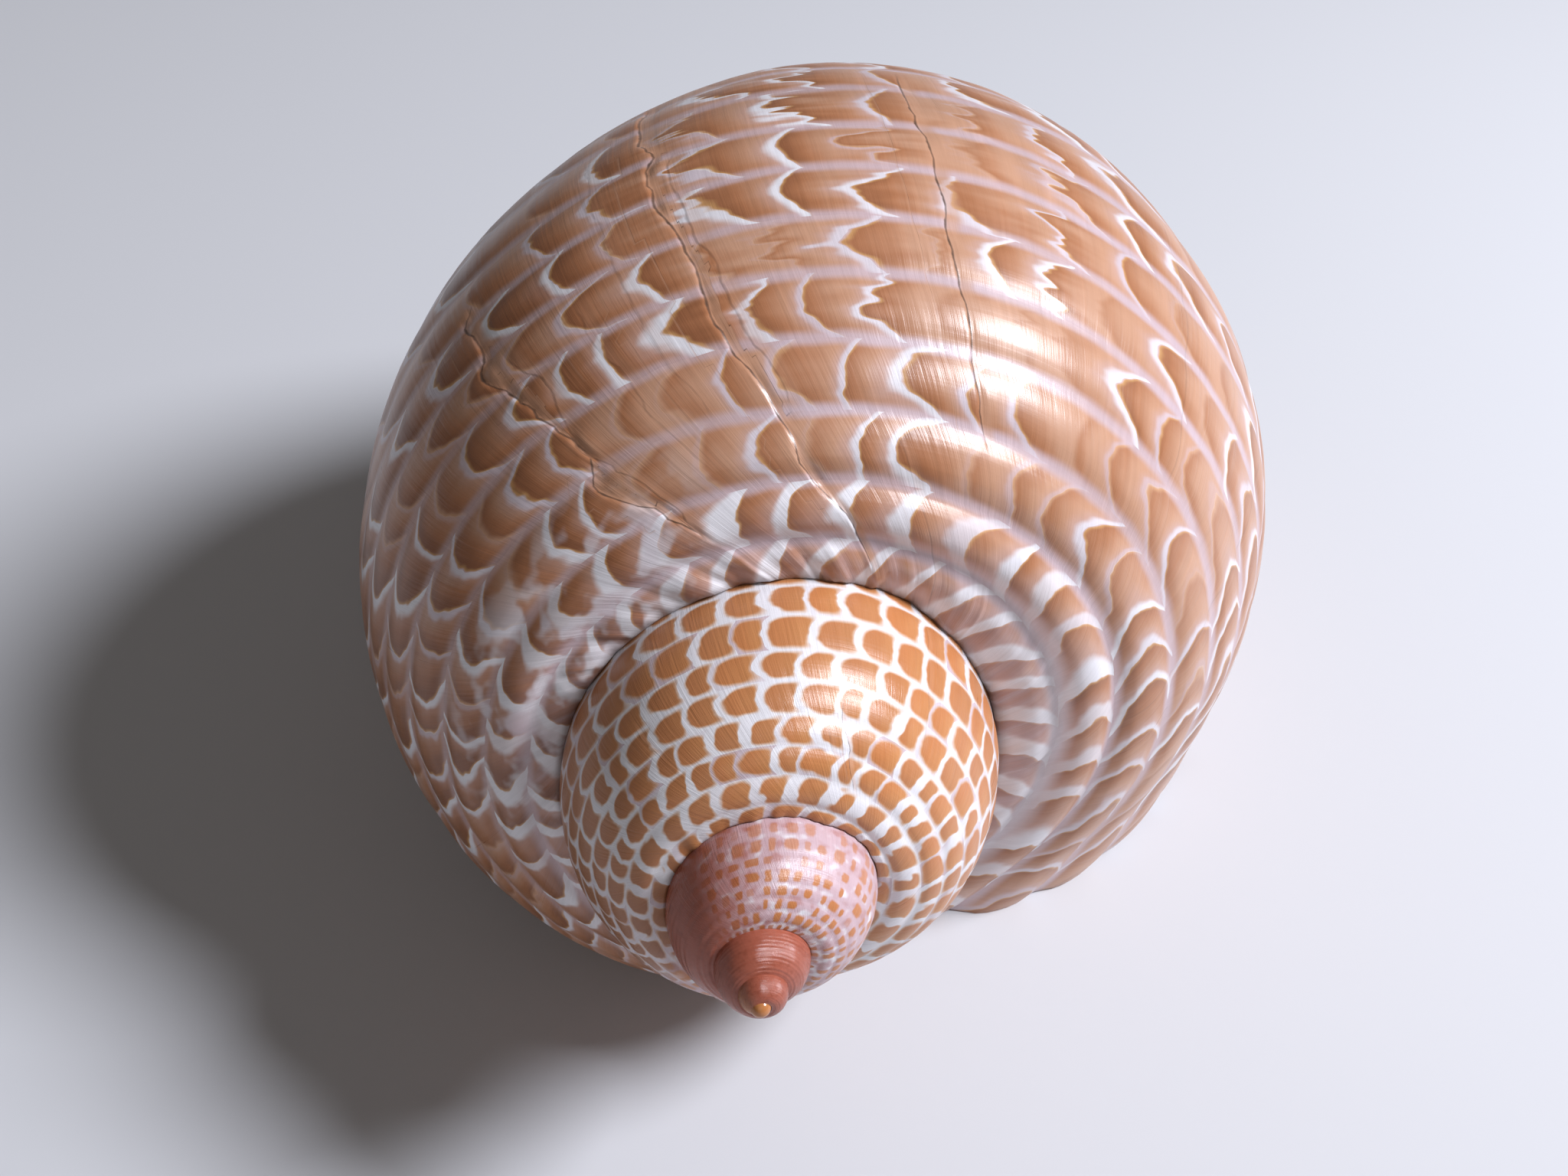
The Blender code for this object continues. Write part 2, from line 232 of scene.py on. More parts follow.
def wall_rz(azimuth, latitude, flare=0.0, offset=0.0):
    """r and z of the wall in metres; offset moves it out of the whorl."""
    size = radius(azimuth)
    r, z = plain_profile(latitude)
    r = r * size * pinch(azimuth) * (1.0 + flare)
    z = z * size
    before = radius(azimuth - 360.0)
    seam_r, seam_z = plain_profile(np.float64(LOWER_SUTURE))
    own_r, own_z = plain_profile(np.float64(UPPER_SUTURE))
    width = SUTURE_DIP * (1.0 - SUTURE_STEEPER * smoothstep(-150.0, -40.0, azimuth))
    dip = np.exp(-(((latitude - UPPER_SUTURE) / width) ** 2))
    dip = dip * (latitude < UPPER_SUTURE + 3.5 * SUTURE_DIP)
    r = r + (seam_r * before * pinch(azimuth - 360.0) - own_r * size * pinch(azimuth)) * dip
    z = z + (seam_z * before - own_z * size + seam_wander(azimuth)) * dip
    normal_r, normal_z = outward(latitude)
    return r + offset * normal_r, z + offset * normal_z


def place(azimuth, r, z):
    """Points of the coil; its axis bends a little at the tip."""
    angle = np.radians(azimuth)
    drift = APEX_DRIFT * np.exp(-z / APEX_DRIFT_FADE)
    return np.stack(np.broadcast_arrays(r * np.cos(angle) + drift, r * np.sin(angle), z), axis=-1)


def pillar_radius(z, thickness):
    """How far the columella's face is from the axis."""
    return (AXIS_GAP + thickness) * z / (WIDEST_Z + BASE_DROP + CANAL_DROP)


def band_of(growth, latitude):
    """Which rib a latitude is on, with the share of the way across it after the point."""
    new = np.interp(latitude, GROOVES, np.arange(len(GROOVES)))
    old = np.interp(latitude, OLD_GROOVES, np.arange(len(OLD_GROOVES)))
    share = smoothstep(-330.0, -270.0, growth)
    return new * share + old * (1.0 - share)


# Old breaks and rests of the lip: row angle, first and last latitude, step in metres, how far it wanders
SCARS = (
    (-104.0, 4.0, 112.0, 0.00045, 1.0),
    (-74.0, 28.0, 104.0, 0.00030, 0.6),
    (-131.0, 12.0, 76.0, 0.00042, 2.0),
    (-118.0, 22.0, 60.0, 0.00010, 0.8),
    (-112.0, 30.0, 96.0, 0.00008, 0.6),
    (-88.0, 2.0, 30.0, 0.00010, 0.6),
    (-40.0, 40.0, 100.0, 0.00006, 0.5),
    (-18.0, 20.0, 90.0, 0.00006, 0.5),
    (-101.4, 30.0, 84.0, 0.00014, 1.2),
    (-128.2, 14.0, 62.0, 0.00016, 1.6),
    (-434.0, 20.0, 50.0, 0.00020, 0.9),
    (-440.0, 24.0, 44.0, 0.00010, 0.9),
    (-491.0, 38.0, 58.0, 0.00012, 0.6),
    (-405.0, 44.0, 90.0, 0.00008, 0.5),
)
MAIN_SCARS = 3               # the first ones get closer rows
SCAR_WAVES = ((1.0, 7.0, 40), (0.35, 2.1, 60))
SCAR_DROP = 0.42             # shares of the step: the wall past a break, its crack and its bulge
SCAR_CRACK = 0.3
SCAR_BULGE = 0.3
BULGE_AT = 1.3
BULGE_WIDTH = 0.8
SCAR_HEAL = 7.0              # degrees over which the wall comes back out after a break
SCAR_EDGE = 0.4
SCAR_ROW_STEP = 0.22
STRONG_SCAR = 0.0003         # a step of this many metres has the full crack
CRACK_WIDTH = 0.26
FAR_FROM_SCAR = 4.0


def ribs(azimuth, latitude, growth):
    """Depth of the grooves between the ribs, in metres."""
    band = band_of(growth, latitude)
    near = np.abs(2.0 * (band - np.floor(band)) - 1.0)
    groove = np.exp(-(((1.0 - near) / GROOVE_SIDE) ** 2))
    groove = groove * (band > FIRST_GROOVE) * (latitude < LAST_GROOVE)
    share = 1.0 - (1.0 - GROOVE_FADE) * smoothstep(20.0, 60.0, latitude)
    rolls = SHOULDER_ROLLS * np.exp(-(((latitude - ROLLS_LATITUDE) / ROLLS_WIDTH) ** 2))
    rolls = rolls * smoothstep(-170.0, -40.0, azimuth)
    youth = 0.5 + 0.5 * smoothstep(-560.0, -330.0, azimuth)
    return GROOVE_DEPTH * radius(azimuth) * (share + rolls) * groove * youth


def scar_lines(growth, latitude):
    """For each scar, how many degrees a place is past it, its step in metres, and its share there."""
    for number, (row, low, high, step, wander) in enumerate(SCARS):
        line = row + wander * waves(latitude, SCAR_WAVES, number)
        reach = smoothstep(low, low + 4.0, latitude) * (1.0 - smoothstep(high - 6.0, high, latitude))
        yield growth - line, step, reach


def scars(growth, latitude):
    """Steps left by old lips, in metres: the newer wall comes from under the older, past a crack."""
    total = np.zeros(np.broadcast(growth, latitude).shape)
    for past, step, reach in scar_lines(growth, latitude):
        after = smoothstep(-0.1, SCAR_EDGE, past) * np.exp(-np.maximum(past, 0.0) / SCAR_HEAL)
        crack = np.exp(-((past / CRACK_WIDTH) ** 2))
        bulge = np.exp(-(((past - BULGE_AT) / BULGE_WIDTH) ** 2)) * wave(latitude / 3.0, 30)
        total = total + step * reach * (SCAR_BULGE * bulge - SCAR_DROP * after - SCAR_CRACK * crack)
    return total


def nearest_scar(growth, latitude):
    """Degrees past the nearest scar, and how strong that scar is there."""
    shape = np.broadcast(growth, latitude).shape
    nearest = np.full(shape, FAR_FROM_SCAR)
    strength = np.zeros(shape)
    for past, step, reach in scar_lines(growth, latitude):
        closer = (np.abs(past) < np.abs(nearest)) & (reach > 0.0)
        nearest = np.where(closer, past, nearest)
        strength = np.where(closer, reach * min(1.0, step / STRONG_SCAR), strength)
    return nearest, strength


def relief(azimuth, latitude, growth):
    """How far the outside stands out of the smooth whorl, in metres."""
    size = radius(azimuth)
    height = -ribs(azimuth, latitude, growth)
    height = height + scars(growth, latitude)
    shoulder = np.exp(-((np.maximum(latitude - WRINKLE_START, 0.0) / WRINKLE_WIDTH) ** 2))
    wrinkle = size * WRINKLE_DEPTH * waves(growth, WRINKLES) * shoulder
    height = height + wrinkle * smoothstep(-320.0, -220.0, growth)
    height = height + size * GROWTH_LINE_DEPTH * waves(growth, GROWTH_LINES)
    height = height + size * DENT_DEPTH * sheet_noise(growth / DENT_LENGTH, latitude / DENT_WIDTH, 9)
    threads = np.cos(2.0 * np.pi * latitude / THREAD_STEP) * smoothstep(-820.0, -900.0, azimuth)
    height = height + size * THREAD_DEPTH * threads
    height = height * smoothstep(-1640.0, -1400.0, azimuth)
    swell = EARLY_SWELL * smoothstep(-1100.0, -1330.0, azimuth)
    return height + swell * smoothstep(-1770.0, -1560.0, azimuth)


def flare_of(growth, latitude):
    """How far the last degrees of the wall turn out towards the lip."""
    rise = smoothstep(-FLARE_LENGTH, 0.0, growth - LIP_AZIMUTH)
    return LIP_FLARE * rise * smoothstep(0.0, FLARE_START, latitude)


class Mesh:
    """Points, what is known of each, and faces."""

    FACTS = ("azimuth", "latitude", "growth", "inside", "past_scar", "scar")

    def __init__(self):
        self.points = []
        self.facts = {name: [] for name in self.FACTS}
        self.count = 0
        self.faces = []

    def add(self, points, **facts):
        """Adds points of any grid shape and returns their numbers in that shape."""
        shape = points.shape[:-1]
        number = int(np.prod(shape))
        self.points.append(points.reshape(-1, 3))
        facts.setdefault("past_scar", FAR_FROM_SCAR)
        for name in self.FACTS:
            self.facts[name].append(np.broadcast_to(facts.get(name, 0.0), shape).reshape(-1))
        ids = np.arange(self.count, self.count + number).reshape(shape)
        self.count += number
        return ids

    def quads(self, ids):
        """Faces over a grid of point numbers."""
        square = np.stack((ids[:-1, :-1], ids[1:, :-1], ids[1:, 1:], ids[:-1, 1:]), axis=-1)
        self.faces += square.reshape(-1, 4).tolist()

    def fan(self, ring, centre):
        """Triangles from a closed ring of point numbers to one point."""
        following = np.roll(ring, -1)
        self.faces += [[int(a), int(b), int(centre)] for a, b in zip(ring, following)]


def columns():
    """Latitudes of every column, and the column at the lower suture."""
    upper = np.linspace(HOLLOW_CORNER, LOWER_SUTURE, UPPER_COLUMNS)
    lower = np.linspace(LOWER_SUTURE, 180.0, LOWER_COLUMNS + 1)[1:]
    seam = len(FINE_COLUMNS) + len(upper) - 1
    return np.concatenate((FINE_COLUMNS, upper, lower)), seam


def rows():
    """Row angles, and the first row of the last whorl."""
    angles = []
    for whorl in range(len(ROWS) - 1, -1, -1):
        end = LIP_AZIMUTH - whorl * SEAM_TURN
        angles.append(np.linspace(end - SEAM_TURN, end, ROWS[whorl], endpoint=False))
    angles = np.concatenate(angles + [np.array((LIP_AZIMUTH,))])
    for row, _, _, _, wander in SCARS[:MAIN_SCARS]:
        reach = 1.4 * wander + 0.4
        angles = angles[np.abs(angles - row) > reach + 0.1]
        angles = np.concatenate((angles, np.arange(row - reach, row + reach, SCAR_ROW_STEP)))
    angles = np.sort(angles)
    angles = angles[angles >= LIP_AZIMUTH - TURNS * 360.0]
    return angles, int(np.argmin(np.abs(angles - (LIP_AZIMUTH - SEAM_TURN))))


def add_outside(mesh, angles, latitudes):
    """A grid of the outside, by row angle and latitude."""
    row, latitude = np.meshgrid(angles, latitudes, indexing="ij")
    growth = row + lead(row, latitude)
    azimuth = growth + lean(latitude)
    tuck = -TUCK * radius(azimuth) / LIP_RADIUS
    offset = np.where(latitude <= UPPER_SUTURE, tuck, relief(azimuth, latitude, growth))
    r, z = wall_rz(azimuth, latitude, flare_of(row, latitude), offset)
    start = LIP_AZIMUTH - TURNS * 360.0
    share = smoothstep(start, start + FIRST_TAPER, row)[..., None]
    points = BEAD_CENTRE + (place(azimuth, r, z) - BEAD_CENTRE) * share
    past, strength = nearest_scar(growth, latitude)
    return mesh.add(points, azimuth=azimuth, latitude=latitude, growth=growth, past_scar=past,
                    scar=strength)


def outer_wall(mesh, latitudes, seam, angles, first_open):
    """The outside. Returns the point numbers of the last whorl."""
    shown = latitudes[:seam + 1 + TUCKED_COLUMNS]
    old = add_outside(mesh, angles[:first_open + 1], shown)
    last = add_outside(mesh, angles[first_open:], latitudes)
    last[0, :len(shown)] = old[-1]
    mesh.quads(old)
    mesh.quads(last)
    return last


def bezier(start, middle, end, count):
    """Points between the ends of a quadratic curve."""
    t = np.arange(1, count + 1)[:, None, None] / (count + 1)
    return start * (1.0 - t) ** 2 + middle * 2.0 * t * (1.0 - t) + end * t ** 2


def lip_side(growth, latitudes):
    """The inside of the wall that ends at the lip: points, azimuths and heights."""
    row, latitude = np.meshgrid(growth, latitudes, indexing="ij")
    azimuth = row + lead(row, latitude) + lean(latitude)
    offset = -WALL - GROOVES_INSIDE * ribs(azimuth, latitude, row)
    r, z = wall_rz(azimuth, latitude, flare_of(row, latitude), offset)
    return place(azimuth, r, z), azimuth, z


def older_side(growth, latitudes):
    """The glaze over the whorl before, a turn back: points, azimuths and heights."""
    row, latitude = np.meshgrid(growth - SEAM_TURN, latitudes, indexing="ij")
    azimuth = row + lead(row, latitude) + lean(latitude)
    r, z = wall_rz(azimuth, latitude, 0.0, GLAZE)
    r = np.maximum(r, pillar_radius(z, PILLAR))
    return place(azimuth, r, z), azimuth, z


def hollow(mesh, latitudes, seam, corner_count):
    """The inside, back from the lip. Returns the point numbers and the points of the ring at the lip."""
    growth = np.linspace(LIP_AZIMUTH - HOLLOW_LENGTH, LIP_AZIMUTH, HOLLOW_ROWS)
    outer = latitudes[(latitudes >= HOLLOW_CORNER) & (latitudes <= HOLLOW_FLOOR)]
    inner = latitudes[seam + 1 + TUCKED_COLUMNS:]
    inner = inner[inner <= HOLLOW_FLOOR][::-1]
    new, new_azimuth, new_z = lip_side(growth, outer)
    old, old_azimuth, old_z = older_side(growth, inner)
    share = np.arange(1, PILLAR_STEPS) / PILLAR_STEPS
    azimuth = new_azimuth[:, -1:] * (1.0 - share) + (old_azimuth[:, :1] + 360.0) * share
    z = new_z[:, -1:] * (1.0 - share) + old_z[:, :1] * share
    pillar = place(azimuth, pillar_radius(z, PILLAR), z)
    azimuth = growth + lead(growth, UPPER_SUTURE) + lean(np.float64(UPPER_SUTURE))
    r, z = wall_rz(azimuth, np.full_like(growth, UPPER_SUTURE + 1.0), 0.0, -WALL * 0.6)
    fillet = bezier(old[None, :, -1], place(azimuth, r, z)[None], new[None, :, 0], corner_count)
    ring = np.concatenate((new, pillar, old, np.swapaxes(fillet, 0, 1)), axis=1)

    # The far end closes in to a round
    centre = ring.mean(axis=1, keepdims=True)
    near_end = np.clip((growth - growth[0] + 2.0) / HOLLOW_END, 0.0, 1.0)
    ring = centre + (ring - centre) * np.sqrt(1.0 - (1.0 - near_end) ** 2)[:, None, None]

    counts = (len(outer), len(share), len(inner), corner_count)
    latitude = np.concatenate((outer, np.full(len(share), 180.0), inner, np.full(corner_count, 5.0)))
    inside = np.repeat((1.0, 2.0, 2.0, 1.5), counts)
    growths = np.broadcast_to(growth[:, None], ring.shape[:2])
    ids = mesh.add(ring, azimuth=growths + lean(latitude), latitude=latitude, growth=growths, inside=inside)
    closed = np.concatenate((ids, ids[:, :1]), axis=1)
    mesh.quads(closed[:, ::-1])
    end = mesh.add(centre[0, 0][None], azimuth=growth[0], latitude=90.0, growth=growth[0], inside=1.0)
    mesh.fan(ids[0], end[0])
    return ids[-1], ring[-1]


def mouth_edge(mesh, latitudes, seam, last, inner_ring, inner_points):
    """The rounded edge of the mouth all the way round, and the chink beside the columella."""
    lip_columns = np.flatnonzero((latitudes >= HOLLOW_CORNER) & (latitudes <= HOLLOW_FLOOR))
    wall_columns = np.flatnonzero((latitudes <= HOLLOW_FLOOR))[seam + 1 + TUCKED_COLUMNS:][::-1]
    every = np.concatenate(mesh.points)
    start_azimuth = LIP_AZIMUTH + lean(np.float64(180.0))
    end_azimuth = LIP_AZIMUTH - SEAM_TURN + 360.0 + lean(np.float64(180.0))
    share = np.arange(1, PILLAR_STEPS) / PILLAR_STEPS
    z = every[last[-1, -1], 2] * (1.0 - share) + every[last[0, -1], 2] * share
    azimuth = start_azimuth * (1.0 - share) + end_azimuth * share
    chink_side = mesh.add(place(azimuth, pillar_radius(z, 0.0), z), azimuth=azimuth, latitude=180.0,
                          growth=LIP_AZIMUTH, inside=2.0)
    tucked = last[0, seam + TUCKED_COLUMNS:seam - 1:-1]
    corner_columns = np.concatenate((tucked, last[-1, 1:lip_columns[0]]))
    partners = np.concatenate((last[-1, lip_columns], chink_side, last[0, wall_columns], corner_columns))
    every = np.concatenate(mesh.points)
    outside = every[partners]
    middle = (outside + inner_points) / 2.0
    half = (outside - inner_points) / 2.0
    ahead = np.stack((-middle[:, 1], middle[:, 0], np.zeros(len(middle))), axis=-1)
    ahead = ahead / np.linalg.norm(ahead, axis=1, keepdims=True)
    swell = np.minimum(EDGE_ROUND * 2.0 * np.linalg.norm(half, axis=1), EDGE_ROUND_MOST)[:, None]
    strips = [partners]
    facts = {name: np.concatenate(mesh.facts[name]) for name in mesh.FACTS}
    for step in range(1, EDGE_STEPS):
        turn = math.pi * step / EDGE_STEPS
        share = step / EDGE_STEPS
        points = middle + half * math.cos(turn) + ahead * swell * math.sin(turn)
        inside = facts["inside"][partners] * (1.0 - share) + facts["inside"][inner_ring] * share
        strips.append(mesh.add(points, azimuth=facts["azimuth"][inner_ring],
                               latitude=facts["latitude"][inner_ring], growth=facts["growth"][inner_ring],
                               inside=inside))
    strips.append(inner_ring)
    strips = np.stack(strips)
    mesh.quads(np.concatenate((strips, strips[:, :1]), axis=1))
    end_rows = last[-1, lip_columns[-1]:]
    start_rows = last[0, wall_columns[0]:][::-1]
    tip = np.concatenate((chink_side[:1], end_rows[::-1]))
    mesh.fan(tip[:-1], tip[-1])
    tip = np.concatenate((chink_side[-1:], start_rows))
    mesh.fan(tip[:-1], tip[-1])
    chink = np.concatenate((last[:, -1], chink_side))
    bottom = mesh.add(np.array(((0.0, 0.0, UMBILICUS_DEPTH * LIP_RADIUS),)), azimuth=0.0, latitude=180.0,
                      growth=LIP_AZIMUTH, inside=2.0)
    mesh.fan(chink[::-1], bottom[0])


def first_bead(mesh):
    """The smooth bead that the coil starts from."""
    turns = np.linspace(0.0, 2.0 * math.pi, BEAD_TURNS)
    tilts = np.linspace(0.0, math.pi, BEAD_TILTS)
    turn, tilt = np.meshgrid(turns, tilts, indexing="ij")
    points = np.stack((np.sin(tilt) * np.cos(turn), np.sin(tilt) * np.sin(turn), -np.cos(tilt)), axis=-1)
    start = LIP_AZIMUTH - TURNS * 360.0
    ids = mesh.add(points * BEAD_SIZE + BEAD_CENTRE, azimuth=start, latitude=60.0, growth=start)
    mesh.quads(ids)


def coil_turn():
    """From the coil's own directions to how the shell lies."""
    turn = Matrix.Rotation(math.radians(PITCH), 4, "X") @ Matrix.Rotation(math.radians(-90.0), 4, "X")
    return turn @ Matrix.Rotation(math.radians(ROLL), 4, "Z")


def build_shell():
    """The shell's mesh object, and the matrix from coil coordinates to where it lies."""
    latitudes, seam = columns()
    angles, first_open = rows()
    mesh = Mesh()
    last = outer_wall(mesh, latitudes, seam, angles, first_open)
    lip_start = int(np.flatnonzero(latitudes >= HOLLOW_CORNER)[0])
    corner_count = TUCKED_COLUMNS + lip_start
    ring, ring_points = hollow(mesh, latitudes, seam, corner_count)
    mouth_edge(mesh, latitudes, seam, last, ring, ring_points)
    first_bead(mesh)
    turn = coil_turn()
    points = np.concatenate(mesh.points) @ np.array(turn.to_3x3()).T
    low, high = points.min(axis=0), points.max(axis=0)
    move = np.array((-(low[0] + high[0]) / 2.0, -(low[1] + high[1]) / 2.0, -low[2] - FLAT_DEPTH))
    points = points + move
    points[:, 2] = np.maximum(points[:, 2], 0.0)
    data = bpy.data.meshes.new("shell_skin")
    data.from_pydata(points.tolist(), [], mesh.faces)
    for name in mesh.FACTS:
        layer = data.attributes.new(name, "FLOAT", "POINT")
        layer.data.foreach_set("value", np.concatenate(mesh.facts[name]).astype(np.float32))
    band = data.attributes.new("band", "FLOAT", "POINT")
    bands = band_of(np.concatenate(mesh.facts["growth"]), np.concatenate(mesh.facts["latitude"]))
    band.data.foreach_set("value", bands.astype(np.float32))
    data.update()
    data.shade_smooth()
    piece = bpy.data.objects.new("shell_skin", data)
    bpy.context.scene.collection.objects.link(piece)
    return piece, Matrix.Translation(Vector(move)) @ turn


class Net:
    """Short ways to wire shader nodes."""

    def __init__(self, name):
        self.material = bpy.data.materials.new(name)
        self.material.use_nodes = True
        self.tree = self.material.node_tree
        self.shader = self.tree.nodes["Principled BSDF"]

    def put(self, socket, value):
        """Links an output to a socket, or sets a plain value on it."""
        if isinstance(value, bpy.types.NodeSocket):
            self.tree.links.new(value, socket)
        elif isinstance(value, tuple) and len(value) == 3 and socket.type == "RGBA":
            socket.default_value = (*value, 1.0)
        else:
            socket.default_value = value

    def math(self, operation, *values, clamp=False):
        node = self.tree.nodes.new("ShaderNodeMath")
        node.operation = operation
        node.use_clamp = clamp
        for socket, value in zip(node.inputs, values):
            self.put(socket, value)
        return node.outputs[0]

    def add(self, a, b):
        return self.math("ADD", a, b)

    def sub(self, a, b):
        return self.math("SUBTRACT", a, b)

    def mul(self, a, b):
        return self.math("MULTIPLY", a, b)

    def div(self, a, b):
        return self.math("DIVIDE", a, b)

    def step(self, low, high, value):
        """0 below low and 1 above high, smooth between; low may be the larger one."""
        node = self.tree.nodes.new("ShaderNodeMapRange")
        node.interpolation_type = "SMOOTHSTEP"
        self.put(node.inputs["Value"], value)
        self.put(node.inputs["From Min"], low)
        self.put(node.inputs["From Max"], high)
        return node.outputs["Result"]

    def scale(self, value, from_low, from_high, to_low, to_high):
        """Carries one range over to another, in a straight line."""
        node = self.tree.nodes.new("ShaderNodeMapRange")
        for socket, item in zip(node.inputs, (value, from_low, from_high, to_low, to_high)):
            self.put(socket, item)
        return node.outputs["Result"]

    def mix(self, share, a, b, kind="MIX"):
        """Colour a with a share of colour b."""
        node = self.tree.nodes.new("ShaderNodeMix")
        node.data_type = "RGBA"
        node.blend_type = kind
        self.put(node.inputs["Factor"], share)
        self.put(node.inputs[6], a)
        self.put(node.inputs[7], b)
        return node.outputs[2]

    def fact(self, name):
        """What the mesh says of each point."""
        node = self.tree.nodes.new("ShaderNodeAttribute")
        node.attribute_name = name
        return node.outputs["Fac"]

    def vector(self, x, y, z=0.0):
        node = self.tree.nodes.new("ShaderNodeCombineXYZ")
        for socket, value in zip(node.inputs, (x, y, z)):
            self.put(socket, value)
        return node.outputs[0]

    def noise(self, x, y, z=0.0, detail=1.0, rough=0.5):
        """Smooth noise round 0, mostly from -0.5 to 0.5 and one unit from bump to bump."""
        node = self.tree.nodes.new("ShaderNodeTexNoise")
        self.put(node.inputs["Vector"], self.vector(x, y, z))
        node.inputs["Scale"].default_value = 1.0
        node.inputs["Detail"].default_value = detail
        node.inputs["Roughness"].default_value = rough
        return self.sub(node.outputs["Fac"], 0.5)

    def chance(self, *parts):
        """A random number from 0 to 1 for each whole-numbered place."""
        node = self.tree.nodes.new("ShaderNodeTexWhiteNoise")
        node.noise_dimensions = "3D"
        self.put(node.inputs["Vector"], self.vector(*parts))
        return node.outputs["Value"]

    def curve(self, value, marks):
        """Straight lines through (input, output) marks."""
        node = self.tree.nodes.new("ShaderNodeFloatCurve")
        low_x, high_x = marks[0][0], marks[-1][0]
        outputs = [mark[1] for mark in marks]
        low_y, high_y = min(outputs), max(outputs)
        curve = node.mapping.curves[0]
        while len(curve.points) < len(marks):
            curve.points.new(0.5, 0.5)
        for point, (x, y) in zip(curve.points, marks):
            point.location = ((x - low_x) / (high_x - low_x), (y - low_y) / (high_y - low_y))
            point.handle_type = "VECTOR"
        node.mapping.update()
        self.put(node.inputs["Value"], self.scale(value, low_x, high_x, 0.0, 1.0))
        return self.scale(node.outputs[0], 0.0, 1.0, low_y, high_y)


# Colours, as linear light
CREAM = (0.81, 0.78, 0.81)
LILAC = (0.60, 0.47, 0.51)
GREY_LILAC = (0.56, 0.44, 0.47)
BROWN = (0.42, 0.172, 0.078)
DARK_BROWN = (0.23, 0.082, 0.033)
TAN = (0.57, 0.310, 0.195)
GOLD = (0.68, 0.38, 0.15)
ORANGE = (0.56, 0.208, 0.070)
ROSE = (0.60, 0.42, 0.45)
DOT = (0.52, 0.19, 0.060)
DARK_ORANGE = (0.33, 0.085, 0.022)
REDDISH = (0.39, 0.105, 0.062)
DARK_RED = (0.26, 0.058, 0.030)
AMBER = (0.52, 0.20, 0.065)
# The dark colour of the cracks, also painted as shade along the sutures
STAIN_AND_SHADE = (0.10, 0.055, 0.035)
LINING = (0.62, 0.46, 0.36)
PALE_LINING = (0.70, 0.58, 0.48)
PILLAR_WHITE = (0.76, 0.70, 0.66)

# Where the patterns change, in degrees: each pair goes from no share to the whole
BODY_GROWTH = (-300.0, -270.0)       # the last whorl's pattern starts
SECOND_GROWTH = (-625.0, -590.0)     # the pattern of the whorl before it starts
DOTTED = (-875.0, -815.0)            # the third whorl's dots start
YOUNG = (-840.0, -900.0)             # glossier towards the tip
NEAR_LIP = (-70.0, 0.0)
# Painted shade: over this stretch the last whorl's cells darken and their pale lines dim, on the side away
# from the key light
SHADED_SIDE_CELLS = (-60.0, -150.0)
FLAMES_START = (-114.0, -100.0)      # the stretch with zigzag flames between the old breaks
FLAMES_END = (-48.0, -62.0)
FLAMES_LATITUDE = (42.0, 50.0)
PATCHES_START = (-190.0, -165.0)     # the stretch with white patches on the shoulder
PATCHES_END = (-92.0, -112.0)
PATCHES_LATITUDE = (34.0, 16.0)
# Painted shade on the whorl before the last, on the side away from the key light: its cells brown over the
# first stretch and darken over the second
SECOND_SHADED_BROWNER = (-420.0, -500.0)
SECOND_SHADED_DARKER = (-500.0, -560.0)
# Partly the third whorl's own redder ground and darker dots, partly painted shade on the side away from the
# key light
THIRD_REDDER_AND_SHADED = (-782.0, -860.0)
EARLY_REDDISH = (-1640.0, -1540.0)   # amber before it, on the bead

# Length of the cells in degrees, by the number of the rib
CELL_LENGTHS = ((0.0, 11.5), (1.0, 11.5), (2.0, 8.6), (3.0, 8.0), (5.0, 8.2), (6.0, 9.6), (8.0, 10.6),
                (17.0, 11.5))
SECOND_CELL_LENGTHS = ((0.0, 17.5), (1.0, 15.0), (2.0, 10.4), (17.0, 10.4))
DOT_LENGTH = 9.8
VALLEY_LATITUDE = 10.3               # the lilac valley between the first two ribs

# The surface
GLOSS = 0.55
ROUGHNESS = (0.22, 0.40)
YOUNG_SMOOTHER = 0.45
BUMP_STRENGTH = 0.35
BUMP_HEIGHT = 0.00012


class Place:
    """What the patterns know of a place on the shell."""

    def __init__(self, net):
        self.azimuth = net.fact("azimuth")
        self.latitude = net.fact("latitude")
        self.growth = net.fact("growth")
        self.inside = net.fact("inside")
        self.wobble = net.noise(net.div(self.azimuth, 26.0), net.div(self.latitude, 22.0), detail=2.0)
        self.fine = net.noise(net.div(self.azimuth, 5.0), net.div(self.latitude, 4.0))
        band = net.add(net.fact("band"), net.add(net.mul(self.wobble, 0.18), net.mul(self.fine, 0.07)))
        self.row = net.math("FLOOR", band)
        self.across = net.math("FRACT", band)
        self.off_middle = net.math("ABSOLUTE", net.sub(net.mul(self.across, 2.0), 1.0))
        self.streaks = net.noise(net.div(self.growth, 0.9), net.div(self.latitude, 30.0), 0.0, 4.0, 0.65)
        self.broad_streaks = net.noise(net.div(self.growth, 4.0), net.div(self.latitude, 40.0), 3.0,
                                       3.0, 0.6)


